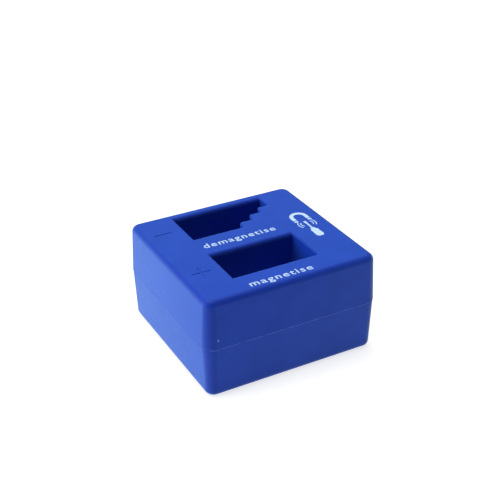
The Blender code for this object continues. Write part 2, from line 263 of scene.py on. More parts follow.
def flat(height, facing_up, outer, holes=()):
    """Fills the region inside the outer ring and outside the hole rings with triangles at one height."""
    rings = [outer, *holes]
    starts = np.cumsum([0] + [len(ring) for ring in rings])
    loops = [list(range(start, end)) for start, end in zip(starts[:-1], starts[1:])]
    plane = [Vector(point) for point in np.concatenate(rings)]
    inside_with_holes = 2
    filled = delaunay_2d_cdt(plane, [], loops, inside_with_holes, SAME_POINT)
    plane, triangles = np.array([tuple(p) for p in filled[0]]), np.array(filled[2])
    points = np.column_stack([plane, np.full(len(plane), height)])
    return points, triangles if facing_up else triangles[:, ::-1], np.zeros(len(points))


def turned(centre, radius, start, end, wear=EDGE_WEAR_AND_PAINTED_SHADE, steps=EDGE_STEPS):
    """A rounded edge for a profile: rows on a circle about centre, (out, height), from one angle to
    another. The wear, which also sets the painted shade and highlight, follows the root of a half sine
    wave, so it is nothing at both ends and nearly whole between."""
    angle = np.linspace(math.radians(start), math.radians(end), steps + 1)
    rise = np.sqrt(np.clip(np.sin(np.linspace(0.0, math.pi, steps + 1)), 0.0, 1.0))
    return [
        (centre[0] + radius * math.cos(a), centre[1] + radius * math.sin(a), wear * share)
        for a, share in zip(angle, rise)
    ]


def piece_from(name, surfaces, *materials):
    """One object from several surfaces, welded where their edges meet, with its sharp edges marked. A face
    whose points all have a wear below nothing is sheltered, and takes the second material."""
    starts = np.cumsum([0] + [len(points) for points, _, _ in surfaces])
    points = np.concatenate([points for points, _, _ in surfaces])
    faces = [face for start, (_, rows, _) in zip(starts, surfaces) for face in (rows + start).tolist()]
    mesh = bpy.data.meshes.new(name)
    mesh.from_pydata(points.tolist(), [], faces)
    wear = np.concatenate([wear for _, _, wear in surfaces])
    mesh.attributes.new("wear", "FLOAT", "POINT").data.foreach_set("value", wear)
    if len(materials) > 1:
        choice = [int(max(wear[face]) < 0.0) for face in faces]
        mesh.polygons.foreach_set("material_index", choice)
    weld(mesh)
    mesh.shade_smooth()
    mesh.set_sharp_from_angle(angle=CREASE)
    return place(name, mesh, *materials)


def weld(mesh, within=WELD):
    """Merges points that coincide, and drops the faces that this leaves with no area."""
    bm = bmesh.new()
    bm.from_mesh(mesh)
    bmesh.ops.remove_doubles(bm, verts=bm.verts, dist=within)
    bmesh.ops.dissolve_degenerate(bm, edges=bm.edges, dist=within)
    bm.to_mesh(mesh)
    bm.free()


def place(name, mesh, *materials):
    """Makes a mesh a piece that rides on the body."""
    made = bpy.data.objects.new(name, mesh)
    for look in materials:
        mesh.materials.append(look)
    bpy.context.scene.collection.objects.link(made)
    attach(made, "root")
    return made


# ---- Camera, light and floor ----


def camera():
    """Stands in front of the block's left corner and looks down on it. Azimuth and elevation say where
    from, the distance is to the block's middle, and the slide moves it across its view to frame the block
    off centre."""
    azimuth, elevation, roll = (math.radians(angle) for angle in CAMERA_ANGLES)
    back = Vector(
        (
            math.sin(azimuth) * math.cos(elevation),
            -math.cos(azimuth) * math.cos(elevation),
            math.sin(elevation),
        )
    )
    level = Vector((math.cos(azimuth), math.sin(azimuth), 0.0))
    right = math.cos(roll) * level + math.sin(roll) * back.cross(level)
    up = back.cross(right)
    data = bpy.data.cameras.new("camera")
    data.lens = CAMERA_LENS
    made = bpy.data.objects.new("camera", data)
    middle = (cad_low + cad_high) / 2
    place_at = middle + CAMERA_DISTANCE * back + CAMERA_SLIDE[0] * right + CAMERA_SLIDE[1] * up
    turn = Matrix((right, up, back)).transposed().to_4x4()
    made.matrix_world = Matrix.Translation(place_at) @ turn
    data.clip_start, data.clip_end = CAMERA_CLIP
    bpy.context.scene.collection.objects.link(made)
    bpy.context.scene.camera = made


def soft_light(name, direction, distance, size, power):
    """A square, white softbox that faces the block from a direction."""
    data = bpy.data.lights.new(name, "AREA")
    data.shape = "SQUARE"
    data.size = size
    data.energy = power
    made = bpy.data.objects.new(name, data)
    toward = Vector(direction).normalized()
    made.location = toward * distance
    made.rotation_euler = toward.to_track_quat("Z", "Y").to_euler()
    bpy.context.scene.collection.objects.link(made)


def studio():
    """A white floor that glows a little, like lit acrylic, inside a dim light tent, with one large
    softbox on the left and one overhead."""
    world = bpy.data.worlds.new("light_tent")
    world.use_nodes = True
    background = world.node_tree.nodes["Background"]
    background.inputs["Color"].default_value = WHITE
    seen = add(world.node_tree, "ShaderNodeLightPath").outputs["Is Camera Ray"]
    glow = ramp(world.node_tree, seen, (0.0, 1.0), TENT_GLOW)
    world.node_tree.links.new(glow, background.inputs["Strength"])
    bpy.context.scene.world = world
    bpy.context.scene.view_settings.view_transform = "Standard"
    for light in SOFTBOXES:
        soft_light(*light)
    mesh = bpy.data.meshes.new("floor")
    corner = np.array([(-1, -1, 0), (1, -1, 0), (1, 1, 0), (-1, 1, 0)]) * FLOOR_HALF
    mesh.from_pydata(corner.tolist(), [], [(0, 1, 2, 3)])
    look, tree, shader = finish("pale_floor", Roughness=0.9, Emission_Strength=FLOOR_GLOW)
    shader.inputs["Emission Color"].default_value = WHITE
    shade = blend_colours(tree, noise(tree, per_metre=60.0), FLOOR_COLOURS)
    tree.links.new(shade, shader.inputs["Base Color"])
    mesh.materials.append(look)
    floor = bpy.data.objects.new("floor", mesh)
    bpy.context.scene.collection.objects.link(floor)


# ---- Finishes ----


def finish(name, **values):
    """A material with these values on its shader's own sockets."""
    made = bpy.data.materials.new(name)
    made.use_nodes = True
    shader = made.node_tree.nodes["Principled BSDF"]
    for socket, value in values.items():
        shader.inputs[socket.replace("_", " ")].default_value = value
    return made, made.node_tree, shader


def add(tree, kind, inputs=None, **settings):
    """A node with its settings and inputs. An input is a value, or another node's output."""
    node = tree.nodes.new(kind)
    for setting, value in settings.items():
        setattr(node, setting, value)
    for socket, value in (inputs or {}).items():
        if isinstance(value, bpy.types.NodeSocket):
            tree.links.new(value, node.inputs[socket])
        else:
            node.inputs[socket].default_value = value
    return node


def object_coordinates(tree):
    return add(tree, "ShaderNodeTexCoord").outputs["Object"]


def noise(tree, per_metre, detail=2.0, stretch=(1.0, 1.0, 1.0)):
    """Noise with this many lumps to the metre, stretched along an axis by a smaller number there."""
    mapped = add(tree, "ShaderNodeMapping", {"Vector": object_coordinates(tree), "Scale": stretch})
    inputs = {"Vector": mapped.outputs["Vector"], "Scale": per_metre, "Detail": detail}
    return add(tree, "ShaderNodeTexNoise", inputs).outputs["Fac"]


def ramp(tree, value, across, to=(0.0, 1.0)):
    """Takes a value from the first number of to, where across starts, to the second where it ends, and no
    further."""
    inputs = {0: value, 1: across[0], 2: across[1], 3: to[0], 4: to[1]}
    return add(tree, "ShaderNodeMapRange", inputs).outputs[0]


def blend_colours(tree, share, colours):
    """The first colour of two, moved towards the second by a share."""
    first, second = ((*colour, 1.0) for colour in colours)
    return add(tree, "ShaderNodeMix", {0: share, 6: first, 7: second}, data_type="RGBA").outputs[2]


def tinted(tree, share, colour, other):
    """A colour that comes from another node, moved towards a plain one by a share."""
    inputs = {0: share, 6: colour, 7: (*other, 1.0)}
    return add(tree, "ShaderNodeMix", inputs, data_type="RGBA").outputs[2]


def relief(tree, height, depth, strength=1.0, under=None):
    """A bump of this depth, on top of another bump if one is given."""
    inputs = {"Height": height, "Distance": depth, "Strength": strength}
    if under is not None:
        inputs["Normal"] = under
    return add(tree, "ShaderNodeBump", inputs).outputs["Normal"]


def moulded_plastic(name, dust, gloss):
    """Blue ABS from a spark-eroded mould: a fine even grain, faint clouds in its colour where the melt
    flowed, a few hair scratches, and edges that handling has made smoother. The rounded edges and upright
    corners are painted a deeper blue as painted shade, and the seam's edges pale at the front as a painted
    highlight. The sheen is a film of dust."""
    look, tree, shader = finish(name, IOR=1.5, Specular_IOR_Level=gloss, Sheen_Weight=dust)
    shader.inputs["Sheen Roughness"].default_value = DUST_ROUGHNESS
    shader.inputs["Sheen Tint"].default_value = (*DUST_COLOUR, 1.0)
    clouds = ramp(tree, noise(tree, per_metre=140.0, detail=3.0), (0.3, 0.7))
    colour = blend_colours(tree, clouds, PLASTIC_COLOURS)
    worn_and_painted_light = add(tree, "ShaderNodeAttribute", attribute_name="wear").outputs["Fac"]
    patches = ramp(tree, noise(tree, per_metre=500.0, detail=3.0), (0.36, 0.66), to=(0.25, 1.0))
    # How much each point is worn, in patches: this sets both the smoother roughness and the painted
    # highlight.
    rubbing_and_painted_highlight = add(tree, "ShaderNodeMath", {0: worn_and_painted_light, 1: patches}, operation="MULTIPLY").outputs[0]
    # Painted shade: the rounded edges and upright corners are painted a deeper blue.
    painted_edge_shade = ramp(tree, worn_and_painted_light, (0.0, EDGE_WEAR_AND_PAINTED_SHADE), to=(0.0, 0.75))
    colour = tinted(tree, painted_edge_shade, colour, PLASTIC_PAINTED_EDGE_SHADE)
    # Painted highlight: the seam's edges are painted pale where they face the front.
    pale = ramp(tree, rubbing_and_painted_highlight, (1.2 * EDGE_WEAR_AND_PAINTED_SHADE, 4.0 * EDGE_WEAR_AND_PAINTED_SHADE), to=(0.0, 0.9))
    colour = tinted(tree, pale, colour, PLASTIC_PAINTED_SEAM_HIGHLIGHT)
    tree.links.new(colour, shader.inputs["Base Color"])
    mottle = ramp(tree, noise(tree, per_metre=900.0, detail=4.0), (0.3, 0.7), to=PLASTIC_ROUGHNESS)
    smoothed = ramp(tree, rubbing_and_painted_highlight, (0.0, EDGE_WEAR_AND_PAINTED_SHADE), to=(0.0, 0.1))
    roughness = add(tree, "ShaderNodeMath", {0: mottle, 1: smoothed}, operation="SUBTRACT").outputs[0]
    tree.links.new(roughness, shader.inputs["Roughness"])
    hairs = noise(tree, per_metre=1100.0, detail=1.0, stretch=(1.0, 0.04, 1.0))
    scratches = ramp(tree, hairs, (0.68, 0.72))
    grain = relief(tree, noise(tree, per_metre=4200.0, detail=4.0), depth=0.035 * MM, strength=0.8)
    normal = relief(tree, scratches, depth=-0.01 * MM, strength=0.6, under=grain)
    tree.links.new(normal, shader.inputs["Normal"])
    return look


def torn_plastic():
    """The same plastic where a trimmed gate has left it torn and pale."""
    look, tree, shader = finish("torn_blue_plastic", IOR=1.5, Roughness=0.7)
    shade = blend_colours(tree, noise(tree, per_metre=9000.0), PLASTIC_TORN)
    tree.links.new(shade, shader.inputs["Base Color"])
    tears = relief(tree, noise(tree, per_metre=12000.0), depth=0.01 * MM)
    tree.links.new(tears, shader.inputs["Normal"])
    return look


def white_ink():
    """Pad-printed ink: matt, a little uneven, and thin enough in spots for the blue to show."""
    look, tree, shader = finish("white_ink", IOR=1.45)
    thin = ramp(tree, noise(tree, per_metre=2600.0, detail=3.0), (0.56, 0.74))
    tree.links.new(blend_colours(tree, thin, INK_COLOURS), shader.inputs["Base Color"])
    roughness = ramp(tree, noise(tree, per_metre=4000.0), (0.3, 0.7), to=(0.45, 0.65))
    tree.links.new(roughness, shader.inputs["Roughness"])
    skin = relief(tree, noise(tree, per_metre=6000.0), depth=0.006 * MM, strength=0.5)
    tree.links.new(skin, shader.inputs["Normal"])
    return look


def sintered_ferrite():
    """Dark grey ceramic: a fine crystalline grain, with grinding lines across it and brown-grey dust."""
    look, tree, shader = finish("sintered_ferrite", IOR=2.0)
    dust = ramp(tree, noise(tree, per_metre=420.0, detail=5.0), (0.4, 0.72))
    tree.links.new(blend_colours(tree, dust, FERRITE_COLOURS), shader.inputs["Base Color"])
    roughness = ramp(tree, noise(tree, per_metre=3000.0, detail=4.0), (0.3, 0.7), to=(0.42, 0.7))
    tree.links.new(roughness, shader.inputs["Roughness"])
    pits = relief(tree, noise(tree, per_metre=5000.0, detail=5.0), depth=0.03 * MM, strength=0.6)
    lines = noise(tree, per_metre=2400.0, stretch=(0.04, 1.0, 1.0))
    normal = relief(tree, lines, depth=0.01 * MM, strength=0.5, under=pits)
    tree.links.new(normal, shader.inputs["Normal"])
    return look


def rolled_steel():
    """Bright mild steel strip with rolling lines along its length and faint stains."""
    look, tree, shader = finish("rolled_steel", Metallic=1.0)
    stain = ramp(tree, noise(tree, per_metre=260.0, detail=4.0), (0.45, 0.75))
    tree.links.new(blend_colours(tree, stain, STEEL_COLOURS), shader.inputs["Base Color"])
    lines = noise(tree, per_metre=3500.0, detail=3.0, stretch=(0.02, 1.0, 1.0))
    tree.links.new(ramp(tree, lines, (0.3, 0.7), to=(0.26, 0.46)), shader.inputs["Roughness"])
    tree.links.new(relief(tree, lines, depth=0.004 * MM, strength=0.7), shader.inputs["Normal"])
    return look


def closed_cell_foam():
    """Dark foam rubber, with the cut cells showing as round pits, and the middle of each pit painted
    darker as painted shade.
    """
    look, tree, shader = finish("closed_cell_foam", IOR=1.4)
    cells = add(tree, "ShaderNodeTexVoronoi", {"Vector": object_coordinates(tree), "Scale": 5000.0})
    # Painted shade: the middle of each pit is painted darker, where the bump sinks it.
    pit_and_painted_shade = ramp(tree, cells.outputs["Distance"], (0.1, 0.6))
    tree.links.new(blend_colours(tree, pit_and_painted_shade, FOAM_COLOURS), shader.inputs["Base Color"])
    roughness = ramp(tree, noise(tree, per_metre=1200.0), (0.3, 0.7), to=(0.85, 1.0))
    tree.links.new(roughness, shader.inputs["Roughness"])
    tree.links.new(relief(tree, pit_and_painted_shade, depth=0.06 * MM), shader.inputs["Normal"])
    return look


# ---- The plan of the block, from the frame ----


def opening_box(name):
    """Left, right, front and back of an opening's walls. The record's box stands a clearance inside."""
    boxes = {opening["name"]: opening["box_m"] for opening in frame["record"]["physics"]["openings"]}
    (left, front, _), (right, back, _) = boxes[name]
    return left - BOX_CLEARANCE, right + BOX_CLEARANCE, front - BOX_CLEARANCE, back + BOX_CLEARANCE


def steps_of_the_opening():
    """The (right, front) of each step's own box, from the first step at the front to the last."""
    names = [f"demagnetising_opening_{which}_step" for which in ("first", "second", "third", "last")]
    return [opening_box(name)[1:3] for name in names]


def pocket_box(*nodes):
    """Left, right, front and back of the pocket that holds these CAD nodes with a gap all round."""
    low = np.min([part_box(node)[0] for node in nodes], axis=0) - GAP
    high = np.max([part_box(node)[1] for node in nodes], axis=0) + GAP
    return low[0], high[0], low[1], high[1]


def magnetising_outline():
    return rectangle(*opening_box("magnetising_opening"), OPENING_CORNER_RADIUS)


def demagnetising_outline():
    """A rectangle whose right side climbs to the back in steps."""
    left, _, front, back = opening_box("demagnetising_opening_first_step")
    steps = steps_of_the_opening()
    corners = [(left, front)]
    for (right, step_front), following in zip(steps, steps[1:] + [None]):
        corners.append((right, step_front))
        corners.append((right, following[1] if following else back))
    corners.append((left, back))
    return Outline(corners, OPENING_CORNER_RADIUS, STEP_NOSE_RADIUS)


def sign_outlines():
    """The minus sign beside the stepped opening and the plus sign beside the rectangular one. The plus has
    the corners of one arm in each of four quarter turns."""
    left, _, front, back = opening_box("demagnetising_opening_first_step")
    x, y = left - SIGN_FROM_OPENING, (front + back) / 2
    arm, half = SIGN_LENGTH / 2, SIGN_STROKE / 2
    minus = rectangle(x - arm, x + arm, y - half, y + half, SIGN_CORNER_RADIUS)
    _, _, front, back = opening_box("magnetising_opening")
    y = (front + back) / 2 - PLUS_FORWARD
    quarter = np.array([(-half, -arm), (half, -arm), (half, -half)])
    turns = [np.array([[1, 0], [0, 1]]), np.array([[0, -1], [1, 0]])]
    turns += [-turns[0], -turns[1]]
    cross = np.concatenate([quarter @ turn.T for turn in turns]) + (x, y)
    nose = SIGN_CORNER_RADIUS + SIGN_EDGE_RADIUS + SIGN_HOLDING_LOOP
    return [minus, Outline(cross, SIGN_CORNER_RADIUS, nose)]


def compartments():
    """The four empty compartments round the openings and pockets, alike in both halves of the case."""
    inset = COMPARTMENT_INSET
    outer_left, outer_right = cad_low.x + inset, cad_high.x - inset
    outer_front, outer_back = cad_low.y + inset, cad_high.y - inset
    rib_front, rib_back = RIB_Y - RIB_THICKNESS / 2, RIB_Y + RIB_THICKNESS / 2
    pocket_left, pocket_right, pocket_front, pocket_back = CENTRE_POCKET
    wall_left, wall_right = pocket_left - INNER_WALL, pocket_right + INNER_WALL
    beside_magnetising = opening_box("magnetising_opening")[1] + INNER_WALL
    behind_magnetising = pocket_front - INNER_WALL
    front_right = [(beside_magnetising, outer_front), (outer_right, outer_front), (outer_right, rib_front)]
    front_right += [(wall_right, rib_front), (wall_right, behind_magnetising)]
    front_right += [(beside_magnetising, behind_magnetising)]
    back_right = [(wall_right, rib_back), (outer_right, rib_back), (outer_right, outer_back)]
    steps = [(right + INNER_WALL, front - INNER_WALL) for right, front in steps_of_the_opening()]
    level = outer_back
    for right, front in reversed(steps):
        back_right += [(right, level), (right, max(front, pocket_back + INNER_WALL))]
        level = front
    back_right.append((wall_right, pocket_back + INNER_WALL))
    radius = COMPARTMENT_CORNER_RADIUS
    return [
        rectangle(outer_left, wall_left, outer_front, rib_front, radius),
        rectangle(outer_left, wall_left, rib_back, outer_back, radius),
        Outline(front_right, radius),
        Outline(back_right, radius),
    ]


def posts():
    return [circle(x * POST_X, y * POST_Y, POST_RADIUS) for x in (-1, 1) for y in (-1, 1)]


# ---- The case ----


def post_of(compartment, post):
    """Whether a post stands in a compartment: its middle lies within the compartment's ends."""
    ring, middle = compartment.ring(), post.here.mean(axis=0)
    return bool((ring.min(axis=0) < middle).all() and (middle < ring.max(axis=0)).all())


def into_the_opening(outline, top, rim):
    """From the top over a rounded edge and down to the seam. The edge is rounder at the back: its radius
    grows with the square of how far round to the back it faces. No dust settles on the walls below it."""
    mouth, seam = MOUTH_EDGE_RADIUS, SEAM_EDGE_RADIUS
    facing_back = np.clip(outline.outwards()[:, 1], 0.0, 1.0)
    grown = 1.0 + (MOUTH_GROWTH_AT_BACK - 1.0) * facing_back**2
    edge = [(mouth * grown + HOLDING_LOOP, 0.0, 0.0)]
    # The wear on this edge also paints it a deeper blue as painted shade.
    for out, height, worn_and_painted_light in turned((mouth, -mouth), mouth, 90.0, 180.0):
        edge.append((out * grown, height * grown, worn_and_painted_light))
    edge.append((0.0 * grown, -mouth * grown - HOLDING_LOOP, SHELTERED))
    rings = [outline.ring() + out[:, None] * outline.outwards() for out, _, _ in edge]
    heights = [top + height for _, height, _ in edge]
    below_the_edge = top - MOUTH_GROWTH_AT_BACK * mouth - 2 * HOLDING_LOOP
    on_to_the_rim = turned((seam, rim + seam), seam, 180.0, 270.0, steps=FINE_EDGE_STEPS)
    rows = sheltered([(0.0, below_the_edge, 0.0), *on_to_the_rim])
    rings += [outline.ring(out) for out, _, _ in rows]
    heights += [height for _, height, _ in rows]
    return bands(rings, heights, [worn_and_painted_light for _, _, worn_and_painted_light in edge + rows])


def sheltered(rows):
    """The same rows of a profile, where neither dust nor hands reach."""
    return [(out, height, SHELTERED) for out, height, _ in rows]


def worn_and_shaded_at_corners(rows):
    """The same rows of the case's profile, with wear on its upright corners as on its edges, which also
    paints them the same deeper blue as painted shade. How much follows the root of the sine of twice the
    angle round
    each corner: nothing on the flats, and whole halfway."""
    x, y = CASE.outwards().T
    corners = EDGE_WEAR_AND_PAINTED_SHADE * np.sqrt(2.0 * np.abs(x * y))
    return [(out, height, np.maximum(worn_and_painted_light, corners)) for out, height, worn_and_painted_light in rows]


def seam_edge(inner_height, start, end):
    """The rounded edge of one half's rim at the seam, about a centre at inner_height. Its wear is greatest
    where it faces the front, and far less at the sides and back. Where it faces the front it is painted
    pale as a painted highlight, and at the sides and back a deeper blue as painted shade."""
    worn_and_painted_light = SEAM_WEAR_AND_PAINTED_LIGHT * np.clip(-CASE.outwards()[:, 1], SEAM_WEAR_AND_HIGHLIGHT_AT_SIDES, 1.0)
    centre = (wall_out(inner_height) - SEAM_EDGE_RADIUS, inner_height)
    return turned(centre, SEAM_EDGE_RADIUS, start, end, worn_and_painted_light, FINE_EDGE_STEPS)


def hollows(rim, deep, facing_up):
    """The pockets and compartments of one half, from the rim to their deep end, with a post in each
    compartment. facing_up is whether they open upwards."""
    made = []
    for pocket in POCKETS:
        made.append(wall(pocket, in_order([(0.0, deep), (0.0, rim)], facing_up)))
        made.append(flat(deep, facing_up, pocket.ring()))
    for compartment in compartments():
        made.append(wall(compartment, in_order([(-INNER_DRAFT, deep), (0.0, rim)], facing_up)))
        standing = [post.ring() for post in posts() if post_of(compartment, post)]
        made.append(flat(deep, facing_up, compartment.ring(-INNER_DRAFT), standing))
    return made


def in_order(rows, reverse):
    return rows[::-1] if reverse else rows


def land(rim, facing_up, outer):
    """The flat at the parting plane that the hollows and openings are sunk in."""
    holes = [opening.ring(SEAM_EDGE_RADIUS) for opening in OPENINGS]
    holes += [hollow.ring() for hollow in [*POCKETS, *compartments()]]
    return flat(rim, facing_up, outer, holes)


def upper_case():
    """The top half. Its outside runs from the groove in its rim, out over the seam's edge, up the drafted
    wall and over the rounded edge on to the top."""
    rim, top = PARTING + PARTING_GAP / 2, DECK
    inner, outer, height = TONGUE
    groove_in, groove_out = -inner - TONGUE_CLEARANCE, -outer + TONGUE_CLEARANCE
    groove_top = rim + height + TONGUE_CLEARANCE
    seam = SEAM_EDGE_RADIUS
    middle = top - TOP_EDGE_RADIUS
    centre = (wall_out(middle) - TOP_EDGE_RADIUS / math.cos(DRAFT), middle)
    # The wear on the top edge, and on the upright corners below it, also paints them a deeper blue as
    # painted shade.
    over_the_edge = turned(centre, TOP_EDGE_RADIUS, math.degrees(DRAFT), 90.0)
    above, below = rim + seam + HOLDING_LOOP, over_the_edge[0][1] - HOLDING_LOOP
    side = [(wall_out(level), level, 0.0) for level in (above, below)]
    deck_out = centre[0] - HOLDING_LOOP
    outside = [(groove_in, rim), (groove_in, groove_top), (groove_out, groove_top), (groove_out, rim)]
    # The seam's edge is painted pale at the front as a painted highlight, and a deeper blue elsewhere as
    # painted shade.
    outside += seam_edge(rim + seam, -90.0, 0.0)
    outside += worn_and_shaded_at_corners(side + over_the_edge)
    outside.append((deck_out, top))
    walls = [into_the_opening(opening, top, rim) for opening in OPENINGS]
    surfaces = [wall(CASE, outside), land(rim, False, CASE.ring(groove_in)), *walls]
    bottom, lip = top - SIGN_DEPTH, SIGN_EDGE_RADIUS
    rim_of_sign = lip + SIGN_HOLDING_LOOP
    # The wear on the sign's edge also paints it a deeper blue as painted shade.
    sign_edge = turned((lip, top - lip), lip, 90.0, 180.0, SIGN_WEAR_AND_PAINTED_SHADE, FINE_EDGE_STEPS)
    into_the_sign = [(rim_of_sign, top), *sign_edge, (0.0, bottom)]
    for sign in SIGNS:
        surfaces += [wall(sign, into_the_sign), flat(bottom, True, sign.ring())]
    holes = [points[: len(opening.ring()), :2] for (points, _, _), opening in zip(walls, OPENINGS)]
    holes += [sign.ring(rim_of_sign) for sign in SIGNS]
    surfaces.append(flat(top, True, CASE.ring(deck_out), holes))
    surfaces += hollows(rim, CEILING, False)
    socket = PIN_RADIUS + PIN_CLEARANCE - POST_RADIUS
    socket_top = rim + PIN_HEIGHT + PIN_CLEARANCE
    for post in posts():
        surfaces.append(wall(post, [(socket, socket_top), (socket, rim), (0.0, rim), (0.0, CEILING)]))
        surfaces.append(flat(socket_top, False, post.ring(socket)))
    made = piece_from("upper_case", surfaces, PLASTIC, SHELTERED_PLASTIC)
    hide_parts("upper_shell")


def lower_case():
    """The bottom half. Its outside runs from the underside round the bottom edge, up the drafted wall and
    over the seam's edge, then in along the rim and over the tongue that enters the upper half's groove.
    """
    rim = PARTING - PARTING_GAP / 2
    inner, outer, height = TONGUE
    seam = SEAM_EDGE_RADIUS
    middle = BOTTOM_EDGE_RADIUS
    centre = (wall_out(middle) - BOTTOM_EDGE_RADIUS / math.cos(DRAFT), middle)
    # The wear on the bottom edge, and on the upright corners above it, also paints them a deeper blue as
    # painted shade.
    round_the_edge = turned(centre, BOTTOM_EDGE_RADIUS, -90.0, -math.degrees(DRAFT))
    above, below = round_the_edge[-1][1] + HOLDING_LOOP, rim - seam - HOLDING_LOOP
    side = [(wall_out(level), level, 0.0) for level in (above, below)]
    underside_out = centre[0] - HOLDING_LOOP
    outside = [(underside_out, 0.0), *worn_and_shaded_at_corners(round_the_edge + side)]
    # The seam's edge is painted pale at the front as a painted highlight, and a deeper blue elsewhere as
    # painted shade.
    outside += seam_edge(rim - seam, 0.0, 90.0)
    outside += [(-outer, rim), (-outer, rim + height), (-inner, rim + height), (-inner, rim)]
    surfaces = [wall(CASE, outside), land(rim, True, CASE.ring(-inner))]
    mouth = MOUTH_EDGE_RADIUS
    down_the_opening = turned((seam, rim - seam), seam, 90.0, 180.0, steps=FINE_EDGE_STEPS)
    down_the_opening = sheltered([*down_the_opening, (0.0, mouth + HOLDING_LOOP, 0.0)])
    # The wear on the opening's bottom edge also paints it a deeper blue as painted shade.
    down_the_opening += [*turned((mouth, mouth), mouth, 180.0, 270.0), (mouth + HOLDING_LOOP, 0.0)]
    surfaces += [wall(opening, down_the_opening) for opening in OPENINGS]
    holes = [opening.ring(mouth + HOLDING_LOOP) for opening in OPENINGS]
    surfaces.append(flat(0.0, False, CASE.ring(underside_out), holes))
    surfaces += hollows(rim, INNER_FLOOR, True)
    pin = PIN_RADIUS - POST_RADIUS
    tip = pin - PIN_CHAMFER
    pin_top = rim + PIN_HEIGHT
    for post in posts():
        up_the_pin = [(0.0, INNER_FLOOR), (0.0, rim), (pin, rim)]
        up_the_pin += [(pin, pin_top - PIN_CHAMFER), (tip, pin_top)]
        surfaces += [wall(post, up_the_pin), flat(pin_top, True, post.ring(tip))]
    made = piece_from("lower_case", surfaces, PLASTIC, SHELTERED_PLASTIC)
    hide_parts("lower_shell")


def wall_out(height):
    """How far out from its widest the case's side is at a height. It leans in by the draft on both sides
    of the parting plane, and the lower half is a step smaller all round."""
    drawn_in = math.tan(DRAFT) * abs(height - PARTING)
    return -drawn_in - (LOWER_STEP if height < PARTING else 0.0)


# ---- What is printed on the top ----


def slab(ring, low, high):
    """A closed plate on any outline: its side is one band of quads between two heights, with a flat on
    each end."""
    around = len(ring)
    points = np.array([np.column_stack([ring, np.full(around, z)]) for z in (low, high)]).reshape(-1, 3)
    index = np.arange(around)
    after = np.roll(index, -1)
    quads = np.stack([index, after, after + around, index + around], axis=-1)
    side = (points, quads, np.zeros(len(points)))
    return [side, flat(low, False, ring), flat(high, True, ring)]


def printed(name, rings):
    surfaces = [surface for ring in rings for surface in slab(ring, INK_LOW, INK_HIGH)]
    made = piece_from(name, surfaces, INK)


def legend(name, words, left, right, baseline):
    """Words in the plain built-in face, a little bolder, stretched to run from left to right along a
    baseline."""
    curve = bpy.data.curves.new(name, "FONT")
    curve.body = words
    curve.size = LETTER_SIZE
    curve.offset = LETTER_BOLDNESS
    curve.space_character = LETTER_SPACING
    curve.extrude = (INK_HIGH - INK_LOW) / 2
    curve.resolution_u = LETTER_CURVE_STEPS
    typed = bpy.data.objects.new(name, curve)
    bpy.context.scene.collection.objects.link(typed)
    bpy.context.view_layer.update()
    mesh = bpy.data.meshes.new_from_object(typed.evaluated_get(bpy.context.evaluated_depsgraph_get()))
    bpy.data.objects.remove(typed)
    bpy.data.curves.remove(curve)
    points = np.empty(len(mesh.vertices) * 3)
    mesh.vertices.foreach_get("co", points)
    points = points.reshape(-1, 3)
    low, high = points.min(axis=0), points.max(axis=0)
    stretch = (right - left) / (high[0] - low[0])
    begins = (left, baseline, (INK_LOW + INK_HIGH) / 2)
    points = (points - (low[0], 0.0, 0.0)) * (stretch, 1.0, 1.0) + begins
    mesh.vertices.foreach_set("co", points.ravel())
    weld(mesh, LETTER_WELD)
    made = place(name, mesh, INK)


def arc(centre, radius, start, end):
    """Points on a circle from one angle to another, in degrees."""
    angle = np.radians(np.linspace(start, end, ARC_STEPS + 1))
    return np.column_stack([centre[0] + radius * np.cos(angle), centre[1] + radius * np.sin(angle)])


def band(centre, inner, outer, start, end):
    """A bow of even width: out along one arc and back along another inside it."""
    return np.concatenate([arc(centre, outer, start, end), arc(centre, inner, end, start)])


def pictogram():
    """A horseshoe magnet whose poles face a screwdriver's blade, with bows on both sides for the field."""
    x, arch_y = PICTOGRAM_X, PICTOGRAM_ARCH_Y
    outer, inner = HORSESHOE_RADII
    joint, pole_end = arch_y - HORSESHOE_LEG, arch_y - HORSESHOE_LEG - HORSESHOE_POLE
    arch = [*arc((x, arch_y), outer, 0, 180), (x - outer, joint), (x - inner, joint)]
    arch += [*arc((x, arch_y), inner, 180, 0), (x + inner, joint), (x + outer, joint)]
    rings = [np.array(arch)]
    for left in (x - outer, x + inner):
        right = left + outer - inner
        rings.append(rectangle(left, right, pole_end, joint - PICTOGRAM_GAP, PICTOGRAM_CORNER).ring())
    rings.append(screwdriver(x, pole_end - PICTOGRAM_GAP, SCREWDRIVER_LENGTH))
    for radius in FIELD_RADII:
        for middle in (0, 180):
            ends = (middle - FIELD_SPREAD, middle + FIELD_SPREAD)
            rings.append(band((x, FIELD_Y), radius, radius + FIELD_STROKE, *ends))
    printed("pictogram", rings)


def screwdriver(x, tip_y, length):
    """A silhouette that is the same on both sides of a line. Each pair is a share of the length, from the
    blade's tip at the back, and half the width there in millimetres."""
    blade = [(0.0, 0.36), (0.05, 0.42), (0.16, 0.25)]
    shank = [(0.46, 0.25)]
    collar = [(0.46, 0.62), (0.52, 0.62)]
    handle = [(0.56, 0.95), (0.62, 1.12), (0.7, 1.0), (0.8, 1.12)]
    round_end = [(0.9, 1.12), (0.96, 0.98), (0.99, 0.7), (1.0, 0.4)]
    share, half_width = np.array(blade + shank + collar + handle + round_end).T
    y, half_width = tip_y - share * length, half_width * MM
    left = np.column_stack([x - half_width, y])
    right = np.column_stack([x + half_width, y])[::-1]
    return np.concatenate([left, right])


# ---- Foam pads ----


